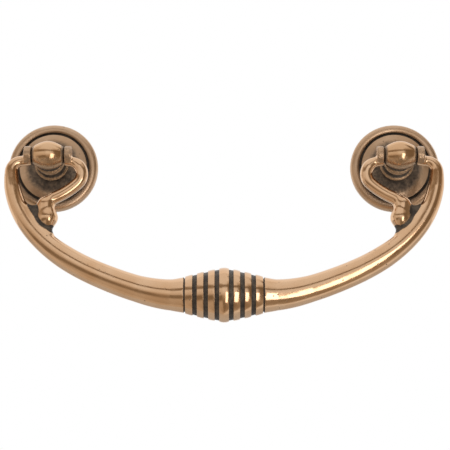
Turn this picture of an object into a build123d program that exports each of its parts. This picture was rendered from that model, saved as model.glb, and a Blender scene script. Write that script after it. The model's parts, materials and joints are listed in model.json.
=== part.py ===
from build123d import *
import os
from math import acos, degrees, hypot

# A drop pull: two turned posts on round roses, and a cast bail that swings on a pin in each post.
# The drawer front is the plane y = 0 and the pull faces -y, x runs along the drawer, z points up.
# The origin lies on the drawer front, midway between the posts, at the height of their axes.
# All sizes are in millimetres. A height is measured out from the drawer front, a drop down from
# the pivot axis, and a reach or inset sideways from the axis of the nearer post. A share is a
# place along a bar's length, from 0 at its start to 1 at its end.

# Fixing to the drawer front
hole_centres = 96.0
thread_drill_diameter = 3.3
thread_depth = 9.0
drill_point_depth = 0.9

# Roses
rose_diameter = 25.0
ring_width = 2.4
ring_height = 2.3
ring_side_height = 0.8
ring_inner_height = 2.0
ring_crest_inset = 1.5
groove_width = 0.65
groove_floor_height = 1.2
disc_edge_height = 2.1
disc_rise = 1.0
hub_hole_diameter = 5.1
hub_land_diameter = 9.6
relief_inner_diameter = 10.4
relief_outer_diameter = 18.0
relief_inner_depth = 1.5
relief_outer_depth = 0.8

# Posts
pivot_height = 15.6
ball_diameter = 7.65
ball_neck_diameter = 6.6
barrel_diameter = 7.5
barrel_end_diameter = 4.5
barrel_side_gap = 0.25
spigot_clearance = 0.05
spigot_setback = 0.3
foot_diameter = 7.6
foot_thickness = 0.5
foot_cove_depth = 0.25
flange_diameter = 9.5
flange_thickness = 0.8
flange_top_height = 6.4
neck_diameter = 6.4
neck_slope = 0.6
bead_diameter = 8.0
bead_thickness = 1.4
bead_middle_height = 9.3
collar_diameter = 8.6
collar_thickness = 0.9
collar_middle_height = 12.3

# Pivot pins, and the eyes of the bail that hold them
pin_diameter = 2.0
pin_running_clearance = 0.05
pin_end_chamfer = 0.15
pin_end_gap = 0.1
eye_gap = 9.0
eye_width = 2.0
eye_diameter = 5.0
eye_rounding = 0.35
eye_root_setback = 0.5
blind_eye_wall = 0.4

# Bar and outer arms of the bail
grip_drop = 38.85
bar_straight = 1.5
bar_middle_share = 0.6
bar_middle_rise = 4.35
bend_inset = 4.3
bend_drop = 27.65
shoulder_reach = 6.1
shoulder_drop = 16.9
arm_reach = 9.4
arm_turn_radius = 3.0
arm_top_drop = 1.6
bar_root_radius = 5.05
flare_radius = 4.2
bar_radius = 3.6
bend_radius = 3.2
arm_radius = 2.2
arm_tip_radius = 1.2
flare_share = 0.07
bar_share = 0.2
bend_share = 0.5
arm_share = 0.85
arm_section_count = 14

# Inner scrolls of the bail, with their ball finials
scroll_reach = 9.35
scroll_top_drop = 1.8
scroll_turn_radius = 3.5
scroll_turn = 137.0
scroll_run_radius = 21.0
scroll_run_turn = 19.0
scroll_end_bend_radius = 8.0
scroll_end_bend = 25.0
scroll_root_radius = 1.15
scroll_radius = 1.68
scroll_tip_radius = 1.5
scroll_tip_ball_radius = 1.7
swell_start_share = 0.2
swell_end_share = 0.85
scroll_section_count = 14
finial_diameter = 5.2
finial_inset = 0.25
finial_drop = 17.4
finial_neck_radius = 2.0
web_thickness = 2.4
web_inset = 1.5
web_top_drop = 14.6
web_bottom_drop = 22.0

# Grip, a banded knop that is thickest in the middle
grip_length = 21.4
grip_middle_diameter = 14.7
grip_end_diameter = 9.75
grip_bulge = 0.15
band_crown = 0.06
band_groove_width = 1.2
band_groove_depth = 0.3
band_groove_pitch = 2.97
first_groove_offset = 1.9
groove_count_each_side = 3
end_groove_width = 0.6
end_groove_depth = 0.4

# Places worked out from the sizes above
post_x = hole_centres / 2
turning_plane = Plane(origin=(0, 0, 0), x_dir=(1, 0, 0), z_dir=(0, 0, -1))
bail_plane = Plane.XZ.offset(pivot_height)
pin_radius = pin_diameter / 2
eye_outer = eye_gap / 2 + eye_width
eye_root = eye_gap / 2 + eye_root_setback
grip_half = grip_length / 2
grip_middle = grip_middle_diameter / 2
grip_end = grip_end_diameter / 2


def turned(outline):
    """A solid turned about a post's axis, from the edges of its section as radius and height."""
    return revolve(turning_plane * make_face(outline), Axis.Y, 360)


def rounded_rim(root_radius, rim_radius, low, high):
    """The rounded edge of a flange, bead or collar, from its lower side to its upper side."""
    return ThreePointArc((root_radius, low), (rim_radius, (low + high) / 2), (root_radius, high))


def rod(start, end, radius):
    """A straight round rod along x through the pivot axis."""
    place = Location((start, -pivot_height, 0), (0, 90, 0))
    return place * Cylinder(radius, end - start, align=(Align.CENTER, Align.CENTER, Align.MIN))


def rose():
    """A round rose: a rounded ring, a narrow groove and a low domed disc, cored out behind."""
    edge = rose_diameter / 2
    crest = edge - ring_crest_inset
    ring_inner = edge - ring_width
    groove_inner = ring_inner - groove_width
    hole = hub_hole_diameter / 2
    land = hub_land_diameter / 2
    land_height = disc_edge_height + disc_rise
    dome_centre_depth = ((groove_inner**2 - land**2) / disc_rise + disc_rise) / 2
    back = Polyline(
        (hole, land_height),
        (hole, 0),
        (relief_inner_diameter / 2, 0),
        (relief_inner_diameter / 2, relief_inner_depth),
        (relief_outer_diameter / 2, relief_outer_depth),
        (relief_outer_diameter / 2, 0),
        (edge, 0),
        (edge, ring_side_height),
    )
    ring = ThreePointArc((edge, ring_side_height), (crest, ring_height), (ring_inner, ring_inner_height))
    groove = Polyline(
        (ring_inner, ring_inner_height),
        (ring_inner, groove_floor_height),
        (groove_inner, groove_floor_height),
        (groove_inner, disc_edge_height),
    )
    dome = RadiusArc((groove_inner, disc_edge_height), (land, land_height), -hypot(land, dome_centre_depth))
    seat = Line((land, land_height), (hole, land_height))
    return turned([back, ring, groove, dome, seat])


def barrel():
    """The ball's swelling out to both eyes, turned about the pivot axis."""
    end = eye_gap / 2 - barrel_side_gap
    end_radius = barrel_end_diameter / 2
    crown = ThreePointArc((-end, end_radius), (0, barrel_diameter / 2), (end, end_radius))
    inside = Polyline((end, end_radius), (end, 0), (-end, 0), (-end, end_radius))
    return Pos(0, -pivot_height, 0) * revolve(Plane.XZ * make_face([crown, inside]), Axis.X, 360)


def post():
    """A turned post: spigot, foot, flange, bead, collar and ball, drilled for its screw and pin."""
    ball = ball_diameter / 2
    ball_neck = ball_neck_diameter / 2
    ball_neck_angle = degrees(acos(ball_neck / ball))
    ball_neck_height = pivot_height - (ball**2 - ball_neck**2) ** 0.5
    neck = neck_diameter / 2
    drill = thread_drill_diameter / 2
    thread_end = spigot_setback + thread_depth
    spigot = hub_hole_diameter / 2 - spigot_clearance
    foot = foot_diameter / 2
    seat_height = disc_edge_height + disc_rise
    foot_top = seat_height + foot_thickness
    flange = flange_diameter / 2
    flange_root = flange - flange_thickness / 2
    flange_low = flange_top_height - flange_thickness
    cove_middle = ((foot + flange_root) / 2 - foot_cove_depth, (foot_top + flange_low) / 2)
    bead = bead_diameter / 2
    bead_root = bead - bead_thickness / 2
    bead_low = bead_middle_height - bead_thickness / 2
    bead_high = bead_middle_height + bead_thickness / 2
    collar = collar_diameter / 2
    collar_root = collar - collar_thickness / 2
    collar_low = collar_middle_height - collar_thickness / 2
    collar_high = collar_middle_height + collar_thickness / 2
    body = turned(
        [
            Polyline(
                (0, thread_end + drill_point_depth),
                (drill, thread_end),
                (drill, spigot_setback),
                (spigot, spigot_setback),
                (spigot, seat_height),
                (foot, seat_height),
                (foot, foot_top),
            ),
            ThreePointArc((foot, foot_top), cove_middle, (flange_root, flange_low)),
            rounded_rim(flange_root, flange, flange_low, flange_top_height),
            Polyline(
                (flange_root, flange_top_height),
                (neck, flange_top_height + neck_slope),
                (neck, bead_low - neck_slope),
                (bead_root, bead_low),
            ),
            rounded_rim(bead_root, bead, bead_low, bead_high),
            Polyline((bead_root, bead_high), (neck, bead_high + neck_slope), (collar_root, collar_low)),
            rounded_rim(collar_root, collar, collar_low, collar_high),
            Line((collar_root, collar_high), (ball_neck, ball_neck_height)),
            CenterArc((0, pivot_height), ball, -ball_neck_angle, 90 + ball_neck_angle),
            Line((0, pivot_height + ball), (0, thread_end + drill_point_depth)),
        ]
    )
    bore_radius = pin_radius + pin_running_clearance
    return body + barrel() - rod(-eye_gap, eye_gap, bore_radius)


def pin():
    """A pivot pin, flush with the inner eye and stopping short in the blind outer eye."""
    end = eye_outer - blind_eye_wall - pin_end_gap
    plain = rod(-eye_outer, end, pin_radius)
    return chamfer(plain.edges().filter_by(GeomType.CIRCLE), pin_end_chamfer)


def between(share, stations):
    """The radius at a share of a bar's length, from radii given at a few shares."""
    for (low, low_radius), (high, high_radius) in zip(stations, stations[1:]):
        if share <= high:
            return low_radius + (high_radius - low_radius) * (share - low) / (high - low)
    return stations[-1][1]


def tapered_bar(centreline, stations, section_count):
    """A round bar along a flat centreline, with its radius changing between the stations."""
    circles = []
    for i in range(section_count + 1):
        share = i / section_count
        place = Plane(origin=centreline @ share, x_dir=(0, 1, 0), z_dir=centreline % share)
        circles.append(place * Circle(between(share, stations)))
    return loft(circles)


def on_bail(*edges):
    """One line in the plane of the bail, from edges drawn as distance along x and height z."""
    return Wire([bail_plane * edge for edge in edges])


def outer_arm():
    """The bar from the grip round to the outer eye."""
    bar_start = (grip_half + bar_straight, -grip_drop)
    bend = (post_x - bend_inset, -bend_drop)
    bar_middle_x = bar_start[0] + bar_middle_share * (bend[0] - bar_start[0])
    bar_middle = (bar_middle_x, bar_middle_rise - grip_drop)
    shoulder = (post_x + shoulder_reach, -shoulder_drop)
    arm_end = (post_x + arm_reach, -arm_top_drop - arm_turn_radius)
    turn_end = (arm_end[0] - arm_turn_radius, -arm_top_drop)
    path = on_bail(
        Line((grip_half - bar_straight, -grip_drop), bar_start),
        Spline(bar_start, bar_middle, bend, shoulder, arm_end, tangents=[(1, 0), (0, 1)]),
        JernArc(arm_end, (0, 1), arm_turn_radius, 90),
        Line(turn_end, (post_x + eye_root, -arm_top_drop)),
    )
    stations = [
        (0, bar_root_radius),
        (flare_share, flare_radius),
        (bar_share, bar_radius),
        (bend_share, bend_radius),
        (arm_share, arm_radius),
        (1, arm_tip_radius),
    ]
    return tapered_bar(path, stations, arm_section_count)


def scroll_path():
    """The centreline of an inner scroll, from its eye round to its tip."""
    turn_start = (post_x - scroll_reach + scroll_turn_radius, -scroll_top_drop)
    turn = JernArc(turn_start, (-1, 0), scroll_turn_radius, scroll_turn)
    run = JernArc(turn @ 1, turn % 1, scroll_run_radius, scroll_run_turn)
    end_bend = JernArc(run @ 1, run % 1, scroll_end_bend_radius, -scroll_end_bend)
    return on_bail(Line((post_x - eye_root, -scroll_top_drop), turn_start), turn, run, end_bend)


def scroll():
    """An inner scroll with its rounded tip, ball finial, neck and the web behind the finial."""
    path = scroll_path()
    stations = [
        (0, scroll_root_radius),
        (swell_start_share, scroll_radius),
        (swell_end_share, scroll_radius),
        (1, scroll_tip_radius),
    ]
    tip = path @ 1
    finial = Vector(post_x - finial_inset, -pivot_height, -finial_drop)
    neck = tapered_bar(Edge.make_line(tip, finial), [(0, scroll_tip_radius), (1, finial_neck_radius)], 1)
    web = bail_plane * make_face(
        Polyline(
            (post_x - web_inset, finial.Z),
            (post_x - web_inset, -web_bottom_drop),
            (post_x + (shoulder_reach - bend_inset) / 2, -(shoulder_drop + bend_drop) / 2),
            (post_x + shoulder_reach, -shoulder_drop),
            (post_x + shoulder_reach, -web_top_drop),
            (finial.X, -web_top_drop),
            close=True,
        )
    )
    body = tapered_bar(path, stations, scroll_section_count)
    body += Pos(tip) * Sphere(scroll_tip_ball_radius)
    body += neck
    body += Pos(finial) * Sphere(finial_diameter / 2)
    return body + extrude(web, web_thickness / 2, both=True)


def eye(inner_side):
    """One of the two round eyes beside a post, as far as its outer face."""
    start = post_x + (-eye_outer if inner_side else eye_gap / 2)
    blank = rod(start, start + eye_width, eye_diameter / 2)
    return fillet(blank.edges().filter_by(GeomType.CIRCLE), eye_rounding)


def bail_end():
    """The right-hand half of the bail without the grip."""
    body = outer_arm() + scroll() + eye(True) + eye(False)
    return body - rod(post_x - eye_outer, post_x + eye_outer - blind_eye_wall, pin_radius)


def grip_radius(place):
    """The grip's radius at a distance from its middle."""
    share = place / grip_half
    return grip_middle + (grip_end - grip_middle) * share + 4 * grip_bulge * share * (1 - share)


def grip():
    """The banded knop, turned about the bar's axis."""
    starts = [0]
    ends = []
    for i in range(groove_count_each_side):
        centre = first_groove_offset + i * band_groove_pitch
        ends.append(centre - band_groove_width / 2)
        starts.append(centre + band_groove_width / 2)
    ends.append(grip_half)
    edges = []
    last = (0, 0)
    for start, finish in zip(starts, ends):
        start_radius = grip_radius(start)
        finish_radius = grip_radius(finish)
        crown = ((start + finish) / 2, (start_radius + finish_radius) / 2 + band_crown)
        edges.append(Line(last, (start, start_radius)))
        edges.append(ThreePointArc((start, start_radius), crown, (finish, finish_radius)))
        last = (finish, finish_radius)
        if finish < grip_half:
            floor = finish_radius - band_groove_depth
            edges.append(Line(last, (finish, floor)))
            last = (finish + band_groove_width, floor)
            edges.append(Line((finish, floor), last))
    edges.append(Line(last, (grip_half, 0)))
    edges.append(Line((grip_half, 0), (0, 0)))
    half = Location((0, -pivot_height, -grip_drop)) * revolve(Plane.XZ * make_face(edges), Axis.X, 360)
    return half + mirror(half, about=Plane.YZ)


def end_groove():
    """The narrow groove between the grip and the bar, as the ring that is cut away."""
    outer = grip_radius(grip_half - end_groove_width) + band_crown
    floor = grip_end - end_groove_depth
    section = Plane.XZ * make_face(
        Polyline(
            (grip_half, floor),
            (grip_half + end_groove_width / 2, outer),
            (grip_half - end_groove_width / 2, outer),
            close=True,
        )
    )
    return Location((0, -pivot_height, -grip_drop)) * revolve(section, Axis.X, 360)


def bail():
    """The whole bail, one casting."""
    right = bail_end()
    groove = end_groove()
    body = grip() + right + mirror(right, about=Plane.YZ)
    return body - groove - mirror(groove, about=Plane.YZ)


def at_post(piece, side):
    """A piece made about the origin, moved to the left or right post."""
    return Pos(side * post_x, 0, 0) * piece


sides = {"left": -1, "right": 1}
pieces = {"bail": bail()}
for name, side in sides.items():
    pieces[f"rose_{name}"] = at_post(rose(), side)
    pieces[f"post_{name}"] = at_post(post(), side)
    right_pin = at_post(pin(), 1)
    pieces[f"pivot_pin_{name}"] = right_pin if side > 0 else mirror(right_pin, about=Plane.YZ)

os.makedirs("parts", exist_ok=True)
for name, piece in pieces.items():
    export_step(piece, f"parts/{name}.step")
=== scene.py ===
import json
from math import atan2, cos, degrees, hypot, pi, radians, sin, sqrt, tan

import bmesh
import bpy
import numpy as np
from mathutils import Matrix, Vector


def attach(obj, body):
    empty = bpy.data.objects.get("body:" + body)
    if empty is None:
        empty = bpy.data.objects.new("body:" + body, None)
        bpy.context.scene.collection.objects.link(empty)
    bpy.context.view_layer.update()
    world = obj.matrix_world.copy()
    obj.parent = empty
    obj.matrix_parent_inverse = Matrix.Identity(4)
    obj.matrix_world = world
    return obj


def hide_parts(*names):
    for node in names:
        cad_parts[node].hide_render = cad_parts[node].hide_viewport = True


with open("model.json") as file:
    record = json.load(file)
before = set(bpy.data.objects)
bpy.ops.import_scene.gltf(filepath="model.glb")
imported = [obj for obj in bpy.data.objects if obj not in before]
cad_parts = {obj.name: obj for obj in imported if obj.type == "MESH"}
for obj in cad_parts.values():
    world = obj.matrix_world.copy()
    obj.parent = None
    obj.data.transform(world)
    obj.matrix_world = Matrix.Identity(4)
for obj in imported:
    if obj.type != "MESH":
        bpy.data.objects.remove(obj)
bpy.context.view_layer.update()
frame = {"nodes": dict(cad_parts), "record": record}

# A drop pull of polished antique bronze: two posts on round roses, and a cast bail that swings on
# them. Lengths are in millimetres until a mesh is made. A height is measured out from the drawer
# front, a reach or inset sideways from a post's axis, and a drop down from the pivot axis.
mm = 0.001

# Sizes taken from the frame
mounts = {mount["name"]: mount for mount in frame["record"]["mounts"]}
post_x = mounts["fixing_holes"]["dims"]["spacing_x_mm"] / 2
joints = frame["record"]["behaviour"]["joints"]
pivot_height = -joints[0]["pos_m"][1] / mm

# Roses
rose_radius = 12.5
rose_ring_height = 2.3
rose_ring_round = 1.5
rose_ring_inner = 10.1
rose_groove_inner = 9.45
rose_groove_floor = 1.2
disc_edge_height = 2.1
disc_top_height = 3.1
disc_land_radius = 4.8
hub_hole_radius = 2.55
relief_inner_radius = 5.2
relief_outer_radius = 9.0
relief_inner_depth = 1.5
relief_outer_depth = 0.8
rose_edge_softness = 0.12

# Posts
spigot_radius = 2.5
spigot_setback = 0.3
drill_radius = 1.65
drill_end = 9.3
drill_point = 10.2
foot_radius = 3.8
foot_top = 3.6
foot_cove_radius = 3.65
flange_radius = 4.75
flange_low = 5.6
flange_top = 6.4
neck_radius = 3.2
neck_slope = 0.6
bead_radius = 4.0
bead_low = 8.6
bead_top = 10.0
collar_radius = 4.3
collar_low = 11.85
collar_top = 12.75
ball_radius = 3.825
ball_neck_radius = 3.3
ball_seat_inset = 0.3
ball_seat_depth = 0.6
barrel_radius = 3.75
barrel_end_radius = 2.25
barrel_end = 4.25
barrel_softness = 0.2
barrel_blend = 0.5
bore_radius = 1.05
post_softness = 0.3

# Eyes and pins
pin_radius = 1.0
eye_middle = 5.5
eye_half_width = 1.0
eye_radius = 2.5
eye_softness = 0.35
eye_root = 5.0
blind_eye_wall = 0.4

# Bar and outer arm
grip_drop = 38.6
grip_half = 10.7
bar_straight = 1.5
bar_middle_share = 0.6
bar_middle_rise = 4.1
bend_inset = 6.0
bend_drop = 28.8
shoulder_reach = 7.5
shoulder_drop = 14.9
arm_reach = 9.85
arm_turn_radius = 3.0
arm_top_drop = 1.6
arm_shares = (0, 0.07, 0.2, 0.5, 0.85, 1)
arm_radii = (5.05, 4.2, 3.6, 3.2, 2.2, 1.2)

# Inner scroll and finial
scroll_reach = 9.35
scroll_top_drop = 1.8
scroll_turn_radius = 3.5
scroll_turn = 137
scroll_run_radius = 21
scroll_run_turn = 19
scroll_end_bend_radius = 8
scroll_end_bend = 25
scroll_shares = (0, 0.2, 0.85, 1)
scroll_radii = (1.15, 1.68, 1.68, 1.5)
scroll_tip_ball = 1.8
finial_radius = 2.6
finial_inset = 0.25
finial_drop = 17.4
finial_neck_radius = 2.45
web_half_thickness = 1.2
web_inset = 1.5
web_top_drop = 14.1
web_reach = 6.1
web_arm_drop = 16.9
web_low_reach = 0.9
web_low_drop = 22.3
web_bottom_drop = 22.0
web_softness = 0.7

# How far the parts of the casting run into each other
eye_blend = 0.8
tip_blend = 0.8
neck_blend = 1.6
web_blend = 1.6
finial_blend = 1.2
least_eye_blend = 0.02

# Grip
grip_middle_radius = 7.35
grip_end_radius = 4.875
grip_bulge = 0.15
band_crown = 0.06
groove_width = 1.2
groove_depth = 0.3
groove_pitch = 2.97
first_groove = 1.9
grooves_each_side = 3
band_softness = 0.1
groove_softness = 0.15
end_groove_radius = 4.475
end_groove_half_width = 0.3

# How finely things are meshed
turned_segments = 160
grip_segments = 180
corner_steps = 5
corner_share = 0.45
dome_steps = 24
ring_steps = 32
rim_steps = 14
cove_shares = (0.15, 0.3, 0.45)
crown_shares = (0.15, 0.3, 0.45, 0.6, 0.75, 0.88)
sharp_angle = 42
path_step = 0.1
net_step = 0.3
head_net_step = 0.2
head_net_margin = 3.5
settling_rounds = 5
evening_rounds = 3
least_slope = 0.1
slope_step = 1e-3
points_at_once = 20000

# The box round one side of the casting in which its surface is found
side_box_reach = 12.5
side_box_half_depth = 5.4
side_box_top = 3.0
side_box_drop = 44.5

# Dark patina and painted shade, from 0 to 1, and the distances over which they fade in
# Patina with painted shade round the post's foot
foot_patina_and_shade = 0.6
groove_patina = 0.62
# The rims are painted a darker brown
rim_darkening = 0.47
# Patina with painted shade under the head, towards the collar
neck_patina_and_shade = 0.7
# Painted shade on the head: at its ends beside the eyes, on its lower half, which also stands for a dark
# reflection, and along its bottom
head_end_shade = 0.55
head_low_shade = 0.42
head_underside_shade = 0.46
eye_patina = 0.46
# Painted shade on the loops' back sides, which face the rose
back_shade = 0.48
foot_fade = (-rose_groove_inner - 0.4, -foot_radius - 2.4)
groove_fade = (-disc_edge_height - 0.1, -rose_groove_floor - 0.3)
cove_fade = (0.15, 0.6)
neck_fade = (-0.7, 1.2)
head_end_fade = (3.0, 4.0)
head_low_fade = (-0.5, 2.0)
head_underside_fade = (2.2, 3.5)
band_fade = (0.02, 0.12)
crease_fade = (-1.5, -0.2)
web_fade = (-0.3, 0.1)
back_fade = (-0.8, 0.5)
back_start = (-22, -14)
groove_margin = 0.3
rim_margin = 0.3
cove_end = 1.5
foot_margin = 0.6
band_margin = 0.1
bar_start = 0.5

# Metal. The scales of its patterns are per metre, a range says where a pattern fades in and where
# it is full, and a polish is the roughness from smoothest to roughest.
tan_bronze = (0.78, 0.515, 0.32)
post_bronze = (0.75, 0.485, 0.285)
# The roses are a darker bronze than the bail
darker_rose_bronze = (0.63, 0.435, 0.288)
pin_bronze = (0.6, 0.4, 0.22)
patina_and_shade_colour = (0.085, 0.062, 0.042)
patina_and_shade_deep = (0.035, 0.026, 0.02)
patina_and_shade_range = (0.25, 0.7)
patina_roughness = 0.3
patina_metal = 0.35
ragged_scale = 1100
ragged_amount = 0.35
cloud_scale = 160
cloud_range = (0.3, 0.7)
cloud_tint = (0.93, 0.88, 0.82)
brown_scale = 700
brown_range = (0.35, 0.65)
pit_scale = 430
pit_range = (0.05, 0.11)
pit_patina = 0.65
polish_scale = 420
polish_range = (0.3, 0.7)
wave_scale = 230
wave_height = 0.25
grain_scale = 2600
grain_height = 0.03
grain_strength = 0.12
etch_scale = 1800
etch_depth = 0.2
etch_strength = 0.6
shelter_samples = 8
crevice_reach = 2
crevice_range = (0.35, 0.8)
satin = (0.3, 0.4)
drawn = (0.2, 0.3)
polished = (0.1, 0.2)

# How far off the metal counts as sheltered by what stands near it, how open it is where its painted
# shade is full and where it ends, and how much painted shade it then holds
# Painted shade on the roses under the loops, and near the eyes on the other parts
under_loops_shade = {"reach": 18, "full": 0.4, "end": 0.85, "amount": 0.85}
near_eyes_shade = {"reach": 8, "full": 0.3, "end": 0.75, "amount": 0.8}

# Floor and world
floor_drop = 1.05
floor_size = 8.0
floor_colour = (0.8, 0.8, 0.79, 1)
floor_roughness = 0.9
world_light = 0.6
world_white = 1.0

# The studio in front of the pull, which only the metal sees: half a ball of glowing wall in five
# zones from left to right. Each zone gives its brightness by height above the horizon in degrees.
studio_radius = 1.0
studio_back = 0.12
studio_segments = 64
studio_rings = 48
left_wall = {
    -90: 0.5, -55: 0.54, -20: 0.64, 5: 0.56, 18: 0.55, 24: 0.34, 34: 0.36, 40: 0.6, 60: 0.85, 90: 0.88,
}
left_screen = {
    -90: 0.34, -52: 0.46, -38: 0.48, -28: 0.2, -14: 0.2, -6: 0.58, 16: 0.8, 20: 0.2, 32: 0.26,
    38: 0.8, 90: 0.88,
}
front_wall = {
    -90: 0.24, -60: 0.2, -38: 0.2, -18: 0.38, -8: 0.56, 3: 0.84, 20: 0.84, 23: 0.2, 31: 0.2,
    34: 0.78, 90: 0.88,
}
dark_screen = {
    -90: 0.42, -60: 0.26, -40: 0.34, -25: 0.22, -12: 0.16, 10: 0.18, 30: 0.16, 38: 0.5, 50: 0.84,
    90: 0.88,
}
right_wall = {-90: 0.8, -20: 0.82, -12: 0.56, 8: 0.54, 20: 0.2, 55: 0.16, 66: 0.76, 90: 0.88}
walls = (left_wall, left_screen, front_wall, dark_screen, right_wall)
wall_corners = (-62, -14, 28, 72)
corner_softness = 7
neutral_level = 0.85
darkest_level = 0.2
darkest_tint = (1.26, 1.0, 0.7)

# Lamps: azimuth from the front to the right and elevation in degrees, then metres and watts
lamp_aim = (0, 0, -0.02)
window = {"azimuth": 23, "elevation": -20, "distance": 0.6, "size": (0.17, 0.44), "power": 0.6}
overhead = {"azimuth": 0, "elevation": 65, "distance": 0.85, "size": (0.8, 0.5), "power": 5.0}

# Camera, a little below the pull and looking up at it
camera_distance = 0.449
camera_tilt = radians(11.97)
camera_shift_x = 0.00024
camera_aim_z = -0.01611
camera_sensor = 36
camera_lens = 128.3
camera_near = 0.01
camera_far = 20


def arc(centre, radius, start, end, steps):
    """Points along an arc, with angles in degrees from the first axis."""
    angles = [radians(start + (end - start) * i / steps) for i in range(steps + 1)]
    return [(centre[0] + radius * cos(a), centre[1] + radius * sin(a)) for a in angles]


def softened(corners, softness):
    """An outline with each corner rounded to a radius, or left sharp where its third value is 0."""
    out = []
    count = len(corners)
    for i, corner in enumerate(corners):
        point = np.array(corner[:2], float)
        radius = corner[2] if len(corner) > 2 else softness
        before = np.array(corners[i - 1][:2], float) - point
        after = np.array(corners[(i + 1) % count][:2], float) - point
        a, b = np.linalg.norm(before), np.linalg.norm(after)
        if radius == 0 or a == 0 or b == 0:
            out.append(tuple(point))
            continue
        before /= a
        after /= b
        bend = np.arccos(np.clip(-before @ after, -1, 1))
        reach = min(radius * tan(bend / 2), corner_share * a, corner_share * b)
        for step in range(corner_steps + 1):
            t = step / corner_steps
            out.append(tuple(point + (1 - t) ** 2 * reach * before + t**2 * reach * after))
    return out


def lathe(outline, segments, closed=False):
    """Rings of a turned shape about its axis, from an outline of radius and distance along it."""
    verts, rings = [], []
    for radius, along in outline:
        if radius < 1e-6:
            rings.append([len(verts)])
            verts.append((0, 0, along))
            continue
        rings.append(list(range(len(verts), len(verts) + segments)))
        for i in range(segments):
            a = 2 * pi * i / segments
            verts.append((radius * cos(a), radius * sin(a), along))
    faces = []
    pairs = list(zip(rings, rings[1:]))
    if closed:
        pairs.append((rings[-1], rings[0]))
    for low, high in pairs:
        for i in range(segments):
            j = (i + 1) % segments
            corners = [low[i % len(low)], low[j % len(low)], high[j % len(high)], high[i % len(high)]]
            face = list(dict.fromkeys(corners))
            if len(face) > 2:
                faces.append(face)
    return np.array(verts, float), faces


def along_y(verts):
    """Turned points with their axis laid out from the drawer front."""
    return np.stack([verts[:, 0], -verts[:, 2], verts[:, 1]], axis=1)


def along_x(verts):
    """Turned points with their axis laid along the drawer."""
    return np.stack([verts[:, 2], verts[:, 0], verts[:, 1]], axis=1)


def mesh_object(name, verts, faces):
    """A smooth-shaded object from points in millimetres."""
    mesh = bpy.data.meshes.new(name)
    mesh.from_pydata((verts * mm).tolist(), [], [list(map(int, face)) for face in faces])
    mesh.validate()
    mesh.update()
    thing = bpy.data.objects.new(name, mesh)
    bpy.context.scene.collection.objects.link(thing)
    mend_normals(thing)
    return thing


def mend_normals(thing):
    """Faces all turned outwards, and smooth but for true edges."""
    bm = bmesh.new()
    bm.from_mesh(thing.data)
    bmesh.ops.recalc_face_normals(bm, faces=bm.faces)
    bm.to_mesh(thing.data)
    bm.free()
    thing.data.shade_smooth()
    thing.data.set_sharp_from_angle(angle=radians(sharp_angle))


def combined(thing, other, operation):
    """The first object joined to or cut by the second, which goes."""
    step = thing.modifiers.new("step", "BOOLEAN")
    step.operation = operation
    step.solver = "EXACT"
    step.object = other
    graph = bpy.context.evaluated_depsgraph_get()
    mesh = bpy.data.meshes.new_from_object(thing.evaluated_get(graph))
    thing.modifiers.clear()
    thing.data = mesh
    bpy.data.objects.remove(other)
    mend_normals(thing)
    return thing


def rod(name, start, end, radius, softness, centre=(0, 0)):
    """A closed round rod along x, with softened ends."""
    outline = softened([(0, start, 0), (radius, start), (radius, end), (0, end, 0)], softness)
    verts, faces = lathe(outline, turned_segments // 2)
    verts = along_x(verts)
    verts[:, 1] += centre[0]
    verts[:, 2] += centre[1]
    return mesh_object(name, verts, faces)


def rose_outline():
    """Half the section of a rose, as radius and height, all the way round."""
    rise = disc_top_height - disc_edge_height
    depth = ((rose_groove_inner**2 - disc_land_radius**2) / rise + rise) / 2
    bottom = disc_top_height - depth
    dome_radius = hypot(disc_land_radius, depth)
    start = degrees(atan2(disc_edge_height - bottom, rose_groove_inner))
    end = degrees(atan2(depth, disc_land_radius))
    dome = arc((0, bottom), dome_radius, start, end, dome_steps)
    ring_middle = (rose_radius - rose_ring_round, rose_ring_height - rose_ring_round)
    ring_end = degrees(np.arccos((rose_ring_inner - ring_middle[0]) / rose_ring_round))
    ring = arc(ring_middle, rose_ring_round, 0, ring_end, ring_steps)
    return softened(
        [
            (hub_hole_radius, disc_top_height),
            (hub_hole_radius, 0),
            (relief_inner_radius, 0),
            (relief_inner_radius, relief_inner_depth),
            (relief_outer_radius, relief_outer_depth),
            (relief_outer_radius, 0),
            (rose_radius, 0),
            *[(*point, 0) for point in ring[:-1]],
            ring[-1],
            (rose_ring_inner, rose_groove_floor),
            (rose_groove_inner, rose_groove_floor),
            dome[0],
            *[(*point, 0) for point in dome[1:-1]],
            (*dome[-1], 0),
        ],
        rose_edge_softness,
    )


def rim(root, edge, low, high):
    """The rounded edge of a flange, bead or collar, from low to high."""
    half = (high - low) / 2
    bulge = edge - root
    radius = (half**2 + bulge**2) / (2 * bulge)
    reach = degrees(np.arcsin(min(1, half / radius)))
    points = arc((edge - radius, (low + high) / 2), radius, -reach, reach, rim_steps)
    return [(*point, 0) for point in points]


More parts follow.
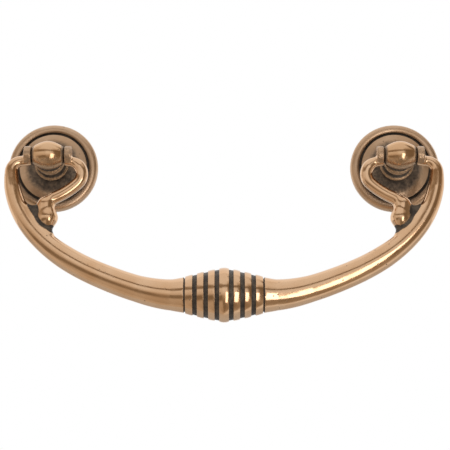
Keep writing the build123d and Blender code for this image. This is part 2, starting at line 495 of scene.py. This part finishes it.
def post_outline():
    """Half the section of a post, as radius and height, from the drill's point up into its head."""
    flange_root = flange_radius - (flange_top - flange_low) / 2
    bead_root = bead_radius - (bead_top - bead_low) / 2
    collar_root = collar_radius - (collar_top - collar_low) / 2
    head_low = pivot_height - sqrt(ball_radius**2 - ball_neck_radius**2)
    cove_depth = foot_radius - foot_cove_radius
    cove_height = flange_low - foot_top
    cove = [(foot_radius - cove_depth * sin(pi * t), foot_top + cove_height * t, 0) for t in cove_shares]
    return softened(
        [
            (0, drill_point, 0),
            (drill_radius, drill_end),
            (drill_radius, spigot_setback),
            (spigot_radius, spigot_setback),
            (spigot_radius, disc_top_height, 0),
            (foot_radius, disc_top_height),
            (foot_radius, foot_top, 0),
            *cove,
            *rim(flange_root, flange_radius, flange_low, flange_top),
            (neck_radius, flange_top + neck_slope),
            (neck_radius, bead_low - neck_slope),
            *rim(bead_root, bead_radius, bead_low, bead_top),
            (neck_radius, bead_top + neck_slope),
            *rim(collar_root, collar_radius, collar_low, collar_top),
            (ball_neck_radius, head_low, 0),
            (ball_neck_radius - ball_seat_inset, head_low + ball_seat_depth, 0),
            (0, head_low + ball_seat_depth, 0),
        ],
        post_softness,
    )


def from_head(x, z, y):
    """Distance from a post's head, a ball that swells out to flat ends at both sides."""
    bulge = barrel_radius - barrel_end_radius
    round_radius = (barrel_end**2 + bulge**2) / (2 * bulge)
    ball = np.sqrt(x**2 + z**2 + y**2) - ball_radius
    off_axis = np.hypot(z, y) + round_radius - barrel_radius
    barrel = np.hypot(x, off_axis) - round_radius
    whole = run_together(ball, barrel, barrel_blend)
    return -run_together(-whole, barrel_end - np.abs(x), barrel_softness)


def head():
    """Points and faces of a post's head about its own middle."""
    reach = np.full(3, barrel_end + head_net_margin * head_net_step)
    counts = np.ceil(2 * reach / head_net_step).astype(int)
    x, y, z = (-reach[i] + head_net_step * np.arange(counts[i]) for i in range(3))
    values = from_head(x[:, None, None], z[None, None, :], y[None, :, None])
    points, faces = surface_net(values, -reach, head_net_step)
    return settled(points, faces, from_head), faces


def rose(side):
    """The rose on one side, -1 for left and 1 for right."""
    verts, faces = lathe(rose_outline(), turned_segments, closed=True)
    verts = along_y(verts) + (side * post_x, 0, 0)
    return mesh_object("rose", verts, faces)


def post(side):
    """The post on one side: the turned body, its head and the bore for the pin."""
    verts, faces = lathe(post_outline(), turned_segments)
    verts = along_y(verts) + (side * post_x, 0, 0)
    body = mesh_object("post", verts, faces)
    verts, faces = head()
    body = combined(body, mesh_object("head", verts + (side * post_x, -pivot_height, 0), faces), "UNION")
    ends = (side * post_x - 2 * barrel_end, side * post_x + 2 * barrel_end)
    return combined(body, rod("bore", *ends, bore_radius, 0, (-pivot_height, 0)), "DIFFERENCE")


def smooth_curve(points, start_way, end_way, step):
    """A smooth cubic curve through a few points, with its direction given at both ends."""
    points = np.array(points, float)
    gaps = np.linalg.norm(np.diff(points, axis=0), axis=1)
    count = len(points)
    matrix, right = np.zeros((count, count)), np.zeros((count, 2))
    matrix[0, 0] = matrix[-1, -1] = 1
    right[0], right[-1] = start_way, end_way
    for i in range(1, count - 1):
        a, b = gaps[i - 1], gaps[i]
        matrix[i, i - 1 : i + 2] = b, 2 * (a + b), a
        before = (points[i] - points[i - 1]) / a
        after = (points[i + 1] - points[i]) / b
        right[i] = 3 * (b * before + a * after)
    ways = np.linalg.solve(matrix, right)
    out = []
    for i, gap in enumerate(gaps):
        t = np.arange(0, 1, step / gap)[:, None]
        out.append(
            (1 + 2 * t) * (1 - t) ** 2 * points[i]
            + t * (1 - t) ** 2 * gap * ways[i]
            + t**2 * (3 - 2 * t) * points[i + 1]
            - t**2 * (1 - t) * gap * ways[i + 1]
        )
    return np.vstack(out + [points[-1:]])


def line(start, end):
    """Points along a straight line."""
    start, end = np.array(start, float), np.array(end, float)
    t = np.linspace(0, 1, max(2, round(np.linalg.norm(end - start) / path_step)))[:, None]
    return start + t * (end - start)


def turn(start, way, radius, angle):
    """Points along an arc from a point in a direction, to the left by an angle above 0, in degrees."""
    quarter = 90 if angle > 0 else -90
    normal = radians(way + quarter)
    centre = (start[0] + radius * cos(normal), start[1] + radius * sin(normal))
    steps = round(radius * radians(abs(angle)) / path_step)
    return np.array(arc(centre, radius, way - quarter, way - quarter + angle, steps))


def tapered(points, shares, radii):
    """A centreline without doubled points, with the bar's radius at each point."""
    keep = np.r_[True, np.linalg.norm(np.diff(points, axis=0), axis=1) > 1e-6]
    points = points[keep]
    length = np.r_[0, np.cumsum(np.linalg.norm(np.diff(points, axis=0), axis=1))]
    return points, np.interp(length / length[-1], shares, radii)


def arm_path():
    """The bar from the grip round to the outer eye, as places across and up."""
    start = (grip_half + bar_straight, -grip_drop)
    bend = (post_x - bend_inset, -bend_drop)
    middle = (start[0] + bar_middle_share * (bend[0] - start[0]), bar_middle_rise - grip_drop)
    shoulder = (post_x + shoulder_reach, -shoulder_drop)
    end = (post_x + arm_reach, -arm_top_drop - arm_turn_radius)
    turn_end = (end[0] - arm_turn_radius, -arm_top_drop)
    points = np.vstack(
        [
            line((grip_half - bar_straight, -grip_drop), start),
            smooth_curve([start, middle, bend, shoulder, end], (1, 0), (0, 1), path_step),
            turn(end, 90, arm_turn_radius, 90),
            line(turn_end, (post_x + eye_root, -arm_top_drop)),
        ]
    )
    return tapered(points, arm_shares, arm_radii)


def scroll_path():
    """The inner scroll from its eye round to its tip."""
    start = (post_x - scroll_reach + scroll_turn_radius, -scroll_top_drop)
    root = line((post_x - eye_root, -scroll_top_drop), start)
    first = turn(start, 180, scroll_turn_radius, scroll_turn)
    run_way = 180 + scroll_turn
    run = turn(first[-1], run_way, scroll_run_radius, scroll_run_turn)
    end_bend = turn(run[-1], run_way + scroll_run_turn, scroll_end_bend_radius, -scroll_end_bend)
    return tapered(np.vstack([root, first, run, end_bend]), scroll_shares, scroll_radii)


arm_points, arm_point_radii = arm_path()
scroll_points, scroll_point_radii = scroll_path()
scroll_tip = scroll_points[-1]
finial_place = np.array([post_x - finial_inset, -finial_drop])
web_corners = np.array(
    [
        (post_x - web_inset, finial_place[1]),
        (post_x - web_inset, -web_bottom_drop),
        (post_x + web_low_reach, -web_low_drop),
        (post_x + web_reach, -web_arm_drop),
        (post_x + web_reach, -web_top_drop),
        (finial_place[0], -web_top_drop),
    ]
)


def from_path(x, z, y, points, radii):
    """Distance from a tapered round bar."""
    shape = np.broadcast(x, z).shape
    px, pz = np.broadcast_to(x, shape).ravel(), np.broadcast_to(z, shape).ravel()
    flat, radius = np.empty(px.shape), np.empty(px.shape)
    starts, ways = points[:-1], np.diff(points, axis=0)
    lengths = (ways**2).sum(1)
    for low in range(0, len(px), points_at_once):
        part = slice(low, low + points_at_once)
        q = np.stack([px[part], pz[part]], axis=1)
        gap = ((q[:, None] - points[None]) ** 2).sum(2)
        nearest = gap.argmin(1)
        best = gap[np.arange(len(q)), nearest]
        found = radii[nearest]
        for shift in (-1, 0):
            i = np.clip(nearest + shift, 0, len(starts) - 1)
            t = np.clip(((q - starts[i]) * ways[i]).sum(1) / lengths[i], 0, 1)
            off = ((q - starts[i] - t[:, None] * ways[i]) ** 2).sum(1)
            closer = off < best
            best = np.where(closer, off, best)
            found = np.where(closer, radii[i] + t * (radii[i + 1] - radii[i]), found)
        flat[part] = best
        radius[part] = found
    return np.sqrt(flat.reshape(shape) + y**2) - radius.reshape(shape)


def from_ball(x, z, y, place, radius):
    """Distance from a ball."""
    return np.sqrt((x - place[0]) ** 2 + (z - place[1]) ** 2 + y**2) - radius


def from_eye(x, z, y, place):
    """Distance from a round eye with softened edges."""
    out = np.sqrt(z**2 + y**2) - (eye_radius - eye_softness)
    side = np.abs(x - place) - (eye_half_width - eye_softness)
    outside = np.sqrt(np.maximum(out, 0) ** 2 + np.maximum(side, 0) ** 2)
    return outside + np.minimum(np.maximum(out, side), 0) - eye_softness


def from_web(x, z, y):
    """Distance from the flat web between finial and arm."""
    away = np.full(np.broadcast(x, z).shape, np.inf)
    inside = np.ones(away.shape, bool)
    for a, b in zip(web_corners, np.roll(web_corners, -1, axis=0)):
        way = b - a
        t = np.clip(((x - a[0]) * way[0] + (z - a[1]) * way[1]) / (way @ way), 0, 1)
        away = np.minimum(away, np.hypot(x - a[0] - t * way[0], z - a[1] - t * way[1]))
        inside &= (x - a[0]) * way[1] - (z - a[1]) * way[0] < 0
    flat = np.where(inside, -away, away) + web_softness
    deep = np.abs(y) - (web_half_thickness - web_softness)
    outside = np.sqrt(np.maximum(flat, 0) ** 2 + np.maximum(deep, 0) ** 2)
    return outside + np.minimum(np.maximum(flat, deep), 0) - web_softness


def run_together(a, b, reach):
    """The nearer of two distances, with the crease between them filled."""
    t = np.clip(0.5 + 0.5 * (b - a) / reach, 0, 1)
    return b + (a - b) * t - reach * t * (1 - t)


def bar_parts(x, z, y):
    """Distances from the parts of the right-hand side of the casting."""
    # The eyes' faces beside the head stay flat: there the blend with the bar fades out, and
    # nothing of the bar passes them.
    inner_face = eye_middle - eye_half_width
    near_face = np.clip(np.abs(x - post_x) - inner_face, least_eye_blend, 1)
    near_eye = (z > -scroll_top_drop - scroll_turn_radius) & (np.abs(x - post_x) < eye_middle)
    before_face = np.where(near_eye, inner_face - np.abs(x - post_x), -np.inf)
    arm = from_path(x, z, y, arm_points, arm_point_radii)
    scroll = from_path(x, z, y, scroll_points, scroll_point_radii)
    arm = run_together(arm, from_eye(x, z, y, post_x + eye_middle), eye_blend * near_face)
    arm = np.maximum(arm, before_face)
    scroll = run_together(scroll, from_eye(x, z, y, post_x - eye_middle), eye_blend * near_face)
    scroll = np.maximum(scroll, before_face)
    scroll = run_together(scroll, from_ball(x, z, y, scroll_tip, scroll_tip_ball), tip_blend)
    neck_points = np.array([scroll_tip, finial_place])
    neck_radii = np.array([scroll_tip_ball, finial_neck_radius])
    scroll = run_together(scroll, from_path(x, z, y, neck_points, neck_radii), neck_blend)
    finial = from_ball(x, z, y, finial_place, finial_radius)
    return arm, scroll, finial, from_web(x, z, y)


def from_bar(x, z, y):
    """Distance from one side of the casting as a whole, without the grip."""
    arm, scroll, finial, web = bar_parts(x, z, y)
    whole = run_together(arm, web, web_blend)
    whole = run_together(whole, run_together(scroll, finial, finial_blend), finial_blend)
    end = grip_half - x
    return -run_together(-whole, -end, band_softness * 2)


def surface_net(values, origin, step):
    """Points and four-sided faces on the zero surface of values on a grid.

    Each cell that the surface passes through has one point, and each edge of the grid that it
    crosses has one face, between the four cells round that edge.
    """
    cells = tuple(n - 1 for n in values.shape)
    total, count = np.zeros(cells + (3,)), np.zeros(cells)
    quads = []
    steps = np.eye(3, dtype=int)
    for axis in range(3):
        low = np.take(values, range(values.shape[axis] - 1), axis=axis)
        high = np.take(values, range(1, values.shape[axis]), axis=axis)
        spot = np.argwhere((low < 0) != (high < 0))
        a, b = low[tuple(spot.T)], high[tuple(spot.T)]
        crossing = spot + (a / (a - b))[:, None] * steps[axis]
        u, v = steps[(axis + 1) % 3], steps[(axis + 2) % 3]
        around = [spot, spot - u, spot - u - v, spot - v]
        for cell in around:
            np.add.at(total, tuple(cell.T), crossing)
            np.add.at(count, tuple(cell.T), 1)
        around = np.stack([np.ravel_multi_index(tuple(cell.T), cells) for cell in around], axis=1)
        quads.append(np.where((a < 0)[:, None], around, around[:, ::-1]))
    quads = np.vstack(quads)
    used, faces = np.unique(quads, return_inverse=True)
    points = total.reshape(-1, 3)[used] / count.ravel()[used, None]
    return origin + points * step, faces.reshape(-1, 4)


def settled(points, faces, distance):
    """Net points evened out and moved onto the true surface."""
    edges = np.vstack([faces[:, [i, (i + 1) % 4]] for i in range(4)])
    for round_number in range(settling_rounds):
        if round_number < evening_rounds:
            total, count = np.zeros_like(points), np.zeros(len(points))
            np.add.at(total, edges[:, 0], points[edges[:, 1]])
            np.add.at(count, edges[:, 0], 1)
            points = (points + total / count[:, None]) / 2
        here = distance(points[:, 0], points[:, 2], points[:, 1])
        slope = np.stack(
            [
                distance(points[:, 0] + slope_step, points[:, 2], points[:, 1]) - here,
                distance(points[:, 0], points[:, 2], points[:, 1] + slope_step) - here,
                distance(points[:, 0], points[:, 2] + slope_step, points[:, 1]) - here,
            ],
            axis=1,
        )
        slope /= slope_step
        points = points - slope * (here / np.maximum((slope**2).sum(1), least_slope))[:, None]
    return points


def bar_side():
    """Points and faces of the right-hand side of the casting, without the grip."""
    low = np.array([grip_half - 1, -side_box_half_depth, -side_box_drop])
    high = np.array([post_x + side_box_reach, side_box_half_depth, side_box_top])
    counts = np.ceil((high - low) / net_step).astype(int)
    x, y, z = (low[i] + net_step * np.arange(counts[i]) for i in range(3))
    flat = from_bar(x[:, None, None], z[None, :, None], y[None, None, :])
    points, faces = surface_net(flat.transpose(0, 2, 1), low, net_step)
    return settled(points, faces, from_bar), faces


def grip_radius(place):
    """The grip's radius at a distance from its middle."""
    share = place / grip_half
    bulge = 4 * grip_bulge * share * (1 - share)
    return grip_middle_radius + (grip_end_radius - grip_middle_radius) * share + bulge


def grip_outline():
    """Half the section of the banded grip, as radius and distance along the bar."""
    bands = []
    start = 0
    for i in range(grooves_each_side):
        centre = first_groove + i * groove_pitch
        bands.append((start, centre - groove_width / 2))
        start = centre + groove_width / 2
    bands.append((start, grip_half - end_groove_half_width))
    half = []
    for start, end in bands:
        a, b = grip_radius(start), grip_radius(end)
        crown = [
            (a + (b - a) * t + 4 * band_crown * t * (1 - t), start + (end - start) * t, 0)
            for t in crown_shares
        ]
        half += [(a, start)] + crown + [(b, end)]
        if end < grip_half - 1:
            far = end + groove_width
            half += [(b - groove_depth, end, groove_softness)]
            half += [(grip_radius(far) - groove_depth, far, groove_softness)]
    half += [
        (end_groove_radius, bands[-1][1], groove_softness),
        (end_groove_radius, grip_half + 1, 0),
        (0, grip_half + 1, 0),
    ]
    # The first point is the middle of the grip, which both halves share
    half = half[1:]
    other = [(point[0], -point[1], *point[2:]) for point in reversed(half)]
    return softened(other + [(grip_middle_radius, 0, 0)] + half, band_softness)


def bail():
    """The whole casting: the grip, both sides and the bores for the pins."""
    verts, faces = lathe(grip_outline(), grip_segments)
    whole = mesh_object("bail", along_x(verts) + (0, -pivot_height, -grip_drop), faces)
    points, faces = bar_side()
    points = points + (0, -pivot_height, 0)
    both = np.vstack([points, points * (-1, 1, 1)])
    both_faces = np.vstack([faces, faces[:, ::-1] + len(points)])
    whole = combined(whole, mesh_object("sides", both, both_faces), "UNION")
    for side in (-1, 1):
        reach = eye_middle + eye_half_width
        ends = sorted((side * (post_x - reach), side * (post_x + reach - blind_eye_wall)))
        whole = combined(whole, rod("bore", *ends, pin_radius, 0, (-pivot_height, 0)), "DIFFERENCE")
    return whole


def positions(thing):
    """Mesh points of an object, in millimetres."""
    flat = np.empty(len(thing.data.vertices) * 3)
    thing.data.vertices.foreach_get("co", flat)
    return flat.reshape(-1, 3) / mm


def paint(thing, amounts):
    """How much dark patina and painted shade each point holds, from 0 to 1."""
    # The attribute holds patina and painted shade alike
    layer = thing.data.attributes.new("patina", "FLOAT", "POINT")
    layer.data.foreach_set("value", np.clip(amounts, 0, 1).astype(np.float32))


def eased(values, low, high):
    """0 up to the low value and 1 from the high one, with a smooth rise between."""
    t = np.clip((values - low) / (high - low), 0, 1)
    return t * t * (3 - 2 * t)


def rose_patina_and_shade(thing, side):
    """Dark patina in the groove, and patina with painted shade round the post's foot."""
    p = positions(thing)
    radius, height = np.hypot(p[:, 0] - side * post_x, p[:, 2]), -p[:, 1]
    in_groove = (radius > rose_groove_inner - groove_margin) & (radius < rose_ring_inner + groove_margin)
    groove = in_groove * eased(-height, *groove_fade) * groove_patina
    # Patina with painted shade round the post's foot
    foot_patina_and_shade_ring = eased(-radius, *foot_fade) * foot_patina_and_shade
    paint(thing, np.maximum(groove, foot_patina_and_shade_ring))


def post_patina_and_shade(thing, side):
    """Dark patina in the coves and patina with painted shade under the head, painted shade at the head's
    ends, bottom and lower half, which also stands for a dark reflection, and brown on the rims.
    """
    p = positions(thing)
    radius, height = np.hypot(p[:, 0] - side * post_x, p[:, 2]), -p[:, 1]
    heights = [foot_top]
    for low, top in ((flange_low, flange_top), (bead_low, bead_top), (collar_low, collar_top)):
        heights.append((low + top) / 2)
    heights.append(pivot_height)
    rims = [foot_radius + foot_margin, flange_radius, bead_radius, collar_radius, ball_radius]
    envelope = np.interp(height, heights, rims)
    coves = eased(envelope - radius, *cove_fade) * (height < pivot_height - cove_end)
    head_only = height > collar_top
    # Patina with painted shade under the head, towards the collar
    under_head_patina_and_shade = eased(pivot_height - height, *neck_fade) * head_only * neck_patina_and_shade
    # Painted shade at the head's ends beside the eyes, on its lower half, which also stands for a dark
    # reflection, and along its bottom
    ends = eased(np.abs(p[:, 0] - side * post_x), *head_end_fade) * head_end_shade
    shaded_low_half = eased(-p[:, 2], *head_low_fade) * head_low_shade
    shaded_underside = eased(-p[:, 2], *head_underside_fade) * head_underside_shade
    head_shade = np.maximum.reduce([ends, shaded_low_half, shaded_underside]) * head_only
    # The rims from the foot up past the collar are painted a darker brown
    darker_rims = rim_darkening * (height < collar_top + rim_margin) * (height > foot_top)
    paint(thing, np.maximum.reduce([coves, under_head_patina_and_shade, head_shade, darker_rims]))


def bail_patina_and_shade(thing):
    """Dark between the bands, in the creases and on the web, brown on the eyes, and painted shade on the
    loops' back sides that face the rose.
    """
    p = positions(thing)
    x, y, z = np.abs(p[:, 0]), p[:, 1] + pivot_height, p[:, 2]
    radius = np.hypot(y, z + grip_drop)
    bands = eased(grip_radius(x) - radius, *band_fade) * (x < grip_half + band_margin)
    arm, scroll, finial, web = bar_parts(x, z, y)
    parts = np.sort(np.stack([arm, np.minimum(scroll, finial)]), axis=0)
    past_grip = x > grip_half + bar_start
    crease = eased(-(parts[1] - parts[0]), *crease_fade) * past_grip
    sunk = eased(np.minimum.reduce(parts) - web, *web_fade) * past_grip
    in_eye = (np.abs(np.abs(x - post_x) - eye_middle) < eye_half_width) & (z > -eye_radius)
    # Painted shade on the loops' back sides, which face the rose
    shaded_backs = eased(y, *back_fade) * eased(z, *back_start) * back_shade
    paint(thing, np.maximum.reduce([bands, crease, sunk, eye_patina * in_eye, shaded_backs]))


def node(tree, kind, **values):
    """A new shader node with some of its settings and inputs."""
    made = tree.nodes.new(kind)
    for name, value in values.items():
        if hasattr(made, name):
            setattr(made, name, value)
        else:
            made.inputs[name.replace("_", " ")].default_value = value
    return made


def worked_out(tree, operation, *values):
    """The result of a sum on sockets and numbers."""
    made = node(tree, "ShaderNodeMath", operation=operation)
    for socket, value in zip(made.inputs, values):
        if isinstance(value, (int, float)):
            socket.default_value = value
        else:
            tree.links.new(value, socket)
    return made.outputs["Value"]


def bronze(name, tan, polish, shelter, grain, patina_and_shade_amount=1.0):
    """Polished antique bronze: tan metal, with dark patina and painted shade where it is painted, patina
    in crevices, and painted shade where nearby parts shelter it.
    """
    material = bpy.data.materials.new(name)
    material.use_nodes = True
    tree = material.node_tree
    link = tree.links.new
    tree.nodes.clear()
    place = node(tree, "ShaderNodeTexCoord")

    def noise(scale, detail, rough=0.5):
        made = node(tree, "ShaderNodeTexNoise", Scale=scale, Detail=detail, Roughness=rough)
        link(place.outputs["Object"], made.inputs["Vector"])
        return made.outputs["Fac"]

    def ranged(value, low, high, out_low, out_high):
        made = node(tree, "ShaderNodeMapRange", clamp=True, interpolation_type="SMOOTHSTEP")
        link(value, made.inputs["Value"])
        made.inputs["From Min"].default_value = low
        made.inputs["From Max"].default_value = high
        made.inputs["To Min"].default_value = out_low
        made.inputs["To Max"].default_value = out_high
        return made.outputs["Result"]

    def maths(operation, a, b):
        return worked_out(tree, operation, a, b)

    def mixed(factor, a, b):
        made = node(tree, "ShaderNodeMix", data_type="RGBA")
        link(factor, made.inputs["Factor"])
        for socket, value in ((made.inputs["A"], a), (made.inputs["B"], b)):
            if isinstance(value, tuple):
                socket.default_value = (*value, 1)
            else:
                link(value, socket)
        return made.outputs["Result"]

    def openness(reach):
        made = node(tree, "ShaderNodeAmbientOcclusion", samples=shelter_samples, Distance=reach * mm)
        return made.outputs["AO"]

    # The painted attribute holds patina and painted shade alike
    painted = node(tree, "ShaderNodeAttribute", attribute_name="patina").outputs["Fac"]
    # Patina in crevices close by, and painted shade where parts further off shelter the metal
    tight = ranged(openness(crevice_reach), *crevice_range, 1, 0)
    sheltered_shade = ranged(openness(shelter["reach"]), shelter["full"], shelter["end"], shelter["amount"], 0)
    crevice_patina_and_shade = maths("MAXIMUM", tight, sheltered_shade)
    ragged = maths("SUBTRACT", noise(ragged_scale, 4, 0.6), 0.5)
    ragged = maths("MULTIPLY", ragged, ragged_amount)
    dark = maths("MAXIMUM", painted, maths("MULTIPLY", crevice_patina_and_shade, patina_and_shade_amount))
    dark = ranged(maths("ADD", dark, ragged), *patina_and_shade_range, 0, 1)
    cells = node(tree, "ShaderNodeTexVoronoi", Scale=pit_scale)
    link(place.outputs["Object"], cells.inputs["Vector"])
    pits = ranged(cells.outputs["Distance"], *pit_range, pit_patina, 0)
    dark = maths("MAXIMUM", dark, pits)

    cloud = ranged(noise(cloud_scale, 3), *cloud_range, 0, 1)
    metal = mixed(cloud, tan, tuple(c * d for c, d in zip(tan, cloud_tint)))
    brown = ranged(noise(brown_scale, 4, 0.6), *brown_range, 0, 1)
    # The dark colour stands for patina and for painted shade alike
    colour = mixed(dark, metal, mixed(brown, patina_and_shade_colour, patina_and_shade_deep))
    rough = ranged(noise(polish_scale, 4, 0.6), *polish_range, *polish)
    rough = maths("ADD", rough, maths("MULTIPLY", dark, patina_roughness))
    bare = ranged(dark, 0, 1, 1, patina_metal)

    wave = node(tree, "ShaderNodeBump", Strength=grain, Distance=wave_height * mm)
    link(noise(wave_scale, 2), wave.inputs["Height"])
    fine = node(tree, "ShaderNodeBump", Strength=grain_strength, Distance=grain_height * mm)
    link(noise(grain_scale, 3, 0.6), fine.inputs["Height"])
    link(wave.outputs["Normal"], fine.inputs["Normal"])
    sunk = node(tree, "ShaderNodeBump", Strength=etch_strength, Distance=etch_depth * mm, invert=True)
    link(maths("MULTIPLY", dark, noise(etch_scale, 3, 0.6)), sunk.inputs["Height"])
    link(fine.outputs["Normal"], sunk.inputs["Normal"])

    shader = node(tree, "ShaderNodeBsdfPrincipled")
    link(bare, shader.inputs["Metallic"])
    link(colour, shader.inputs["Base Color"])
    link(rough, shader.inputs["Roughness"])
    link(sunk.outputs["Normal"], shader.inputs["Normal"])
    out = node(tree, "ShaderNodeOutputMaterial")
    link(shader.outputs["BSDF"], out.inputs["Surface"])
    return material


def dress(thing, material):
    """An object in one material alone."""
    thing.data.materials.clear()
    thing.data.materials.append(material)


rose_metal = bronze("rose_metal", darker_rose_bronze, satin, under_loops_shade, grain=0.1, patina_and_shade_amount=0.8)
post_metal = bronze("post_metal", post_bronze, polished, near_eyes_shade, grain=0.12)
bail_metal = bronze("bail_metal", tan_bronze, polished, near_eyes_shade, grain=0.16)
pin_metal = bronze("pin_metal", pin_bronze, drawn, near_eyes_shade, grain=0.1)

for side, word in ((-1, "left"), (1, "right")):
    rosette = rose(side)
    rosette.name = f"{word}_rose"
    rose_patina_and_shade(rosette, side)
    dress(rosette, rose_metal)
    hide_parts(f"rose_{word}")
    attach(rosette, "posts")
    pillar = post(side)
    pillar.name = f"{word}_post"
    post_patina_and_shade(pillar, side)
    dress(pillar, post_metal)
    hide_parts(f"post_{word}")
    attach(pillar, "posts")
    dress(frame["nodes"][f"pivot_pin_{word}"], pin_metal)

casting = bail()
casting.name = "cast_bail"
bail_patina_and_shade(casting)
dress(casting, bail_metal)
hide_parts("bail")
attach(casting, "bail")


def build_floor():
    """A plain pale floor, well below the pull and the camera."""
    bpy.ops.mesh.primitive_plane_add(size=floor_size, location=(0, 0, -floor_drop))
    floor = bpy.context.object
    floor.name = "floor"
    floor_paint = bpy.data.materials.new("floor_paint")
    floor_paint.use_nodes = True
    shader = floor_paint.node_tree.nodes["Principled BSDF"]
    shader.inputs["Base Color"].default_value = floor_colour
    shader.inputs["Roughness"].default_value = floor_roughness
    dress(floor, floor_paint)


def build_world():
    """A white world to the eye and in the metal, which lights the pull a little less."""
    world = bpy.data.worlds.new("surround")
    bpy.context.scene.world = world
    world.use_nodes = True
    tree = world.node_tree
    link = tree.links.new
    tree.nodes.clear()
    rays = node(tree, "ShaderNodeLightPath")
    seen = worked_out(tree, "MAXIMUM", rays.outputs["Is Camera Ray"], rays.outputs["Is Glossy Ray"])
    seen = worked_out(tree, "MAXIMUM", seen, rays.outputs["Is Transmission Ray"])
    soft = node(tree, "ShaderNodeBackground", Color=(1, 1, 1, 1), Strength=world_light)
    white = node(tree, "ShaderNodeBackground", Color=(1, 1, 1, 1), Strength=world_white)
    either = node(tree, "ShaderNodeMixShader")
    link(seen, either.inputs[0])
    link(soft.outputs[0], either.inputs[1])
    link(white.outputs[0], either.inputs[2])
    link(either.outputs[0], node(tree, "ShaderNodeOutputWorld").inputs["Surface"])


def tinted(level):
    """The colour of a wall: white where it is bright and a warm brown where it is dim."""
    share = max(0, (neutral_level - level) / (neutral_level - darkest_level))
    return [level * (1 + share * (tint - 1)) for tint in darkest_tint] + [1]


def wall_paint(tree, height, wall):
    """The colour of one zone of the studio by height, from 0 straight below to 1 overhead."""
    ramp = node(tree, "ShaderNodeValToRGB")
    while len(ramp.color_ramp.elements) < len(wall):
        ramp.color_ramp.elements.new(0.5)
    for stop, (angle, level) in zip(ramp.color_ramp.elements, wall.items()):
        stop.position = (angle + 90) / 180
        stop.color = tinted(level)
    tree.links.new(height, ramp.inputs[0])
    return ramp.outputs[0]


def build_studio():
    """The glowing walls in front of the pull, cut off behind it."""
    bpy.ops.mesh.primitive_uv_sphere_add(
        segments=studio_segments, ring_count=studio_rings, radius=studio_radius
    )
    studio = bpy.context.object
    studio.name = "studio"
    bm = bmesh.new()
    bm.from_mesh(studio.data)
    behind = [face for face in bm.faces if face.calc_center_median().y > studio_back]
    bmesh.ops.delete(bm, geom=behind, context="FACES")
    bm.to_mesh(studio.data)
    bm.free()

    studio_paint = bpy.data.materials.new("studio_paint")
    studio_paint.use_nodes = True
    tree = studio_paint.node_tree
    link = tree.links.new
    tree.nodes.clear()
    where = node(tree, "ShaderNodeTexCoord")
    way = node(tree, "ShaderNodeVectorMath", operation="NORMALIZE")
    link(where.outputs["Object"], way.inputs[0])
    split = node(tree, "ShaderNodeSeparateXYZ")
    link(way.outputs[0], split.inputs[0])
    height = worked_out(tree, "ARCSINE", split.outputs["Z"])
    height = worked_out(tree, "MULTIPLY_ADD", height, 1 / pi, 0.5)
    forward = worked_out(tree, "MULTIPLY", split.outputs["Y"], -1)
    aside = worked_out(tree, "ARCTAN2", split.outputs["X"], forward)
    shade = wall_paint(tree, height, walls[0])
    for corner, wall in zip(wall_corners, walls[1:]):
        past = node(tree, "ShaderNodeMapRange", interpolation_type="SMOOTHSTEP")
        link(aside, past.inputs["Value"])
        past.inputs["From Min"].default_value = radians(corner - corner_softness)
        past.inputs["From Max"].default_value = radians(corner + corner_softness)
        mix = node(tree, "ShaderNodeMix", data_type="RGBA")
        link(past.outputs["Result"], mix.inputs["Factor"])
        link(shade, mix.inputs["A"])
        link(wall_paint(tree, height, wall), mix.inputs["B"])
        shade = mix.outputs["Result"]
    glow = node(tree, "ShaderNodeEmission", Strength=1.0)
    link(shade, glow.inputs["Color"])
    link(glow.outputs[0], node(tree, "ShaderNodeOutputMaterial").inputs["Surface"])
    dress(studio, studio_paint)
    studio.visible_camera = False
    studio.visible_diffuse = False
    studio.visible_shadow = False


def lamp(name, azimuth, elevation, distance, size, power):
    """A soft square lamp that points at the pull."""
    light = bpy.data.lights.new(name, "AREA")
    light.shape = "RECTANGLE"
    light.size, light.size_y = size
    light.energy = power
    thing = bpy.data.objects.new(name, light)
    a, e = radians(azimuth), radians(elevation)
    thing.location = (distance * sin(a) * cos(e), -distance * cos(a) * cos(e), distance * sin(e))
    aim = Vector(lamp_aim) - thing.location
    thing.rotation_euler = aim.to_track_quat("-Z", "Y").to_euler()
    bpy.context.scene.collection.objects.link(thing)
    return thing


def build_camera():
    """The camera at the photograph's viewing angle."""
    camera_data = bpy.data.cameras.new("camera")
    camera_data.sensor_width = camera_sensor
    camera_data.lens = camera_lens
    camera_data.clip_start = camera_near
    camera_data.clip_end = camera_far
    camera = bpy.data.objects.new("camera", camera_data)
    camera.location = (
        camera_shift_x,
        -camera_distance * cos(camera_tilt),
        camera_aim_z - camera_distance * sin(camera_tilt),
    )
    camera.rotation_euler = (pi / 2 + camera_tilt, 0, 0)
    bpy.context.scene.collection.objects.link(camera)
    bpy.context.scene.camera = camera


build_floor()
build_world()
build_studio()
lamp("window", **window)
lamp("overhead", **overhead).visible_glossy = False
build_camera()
bpy.context.scene.view_settings.view_transform = "Standard"
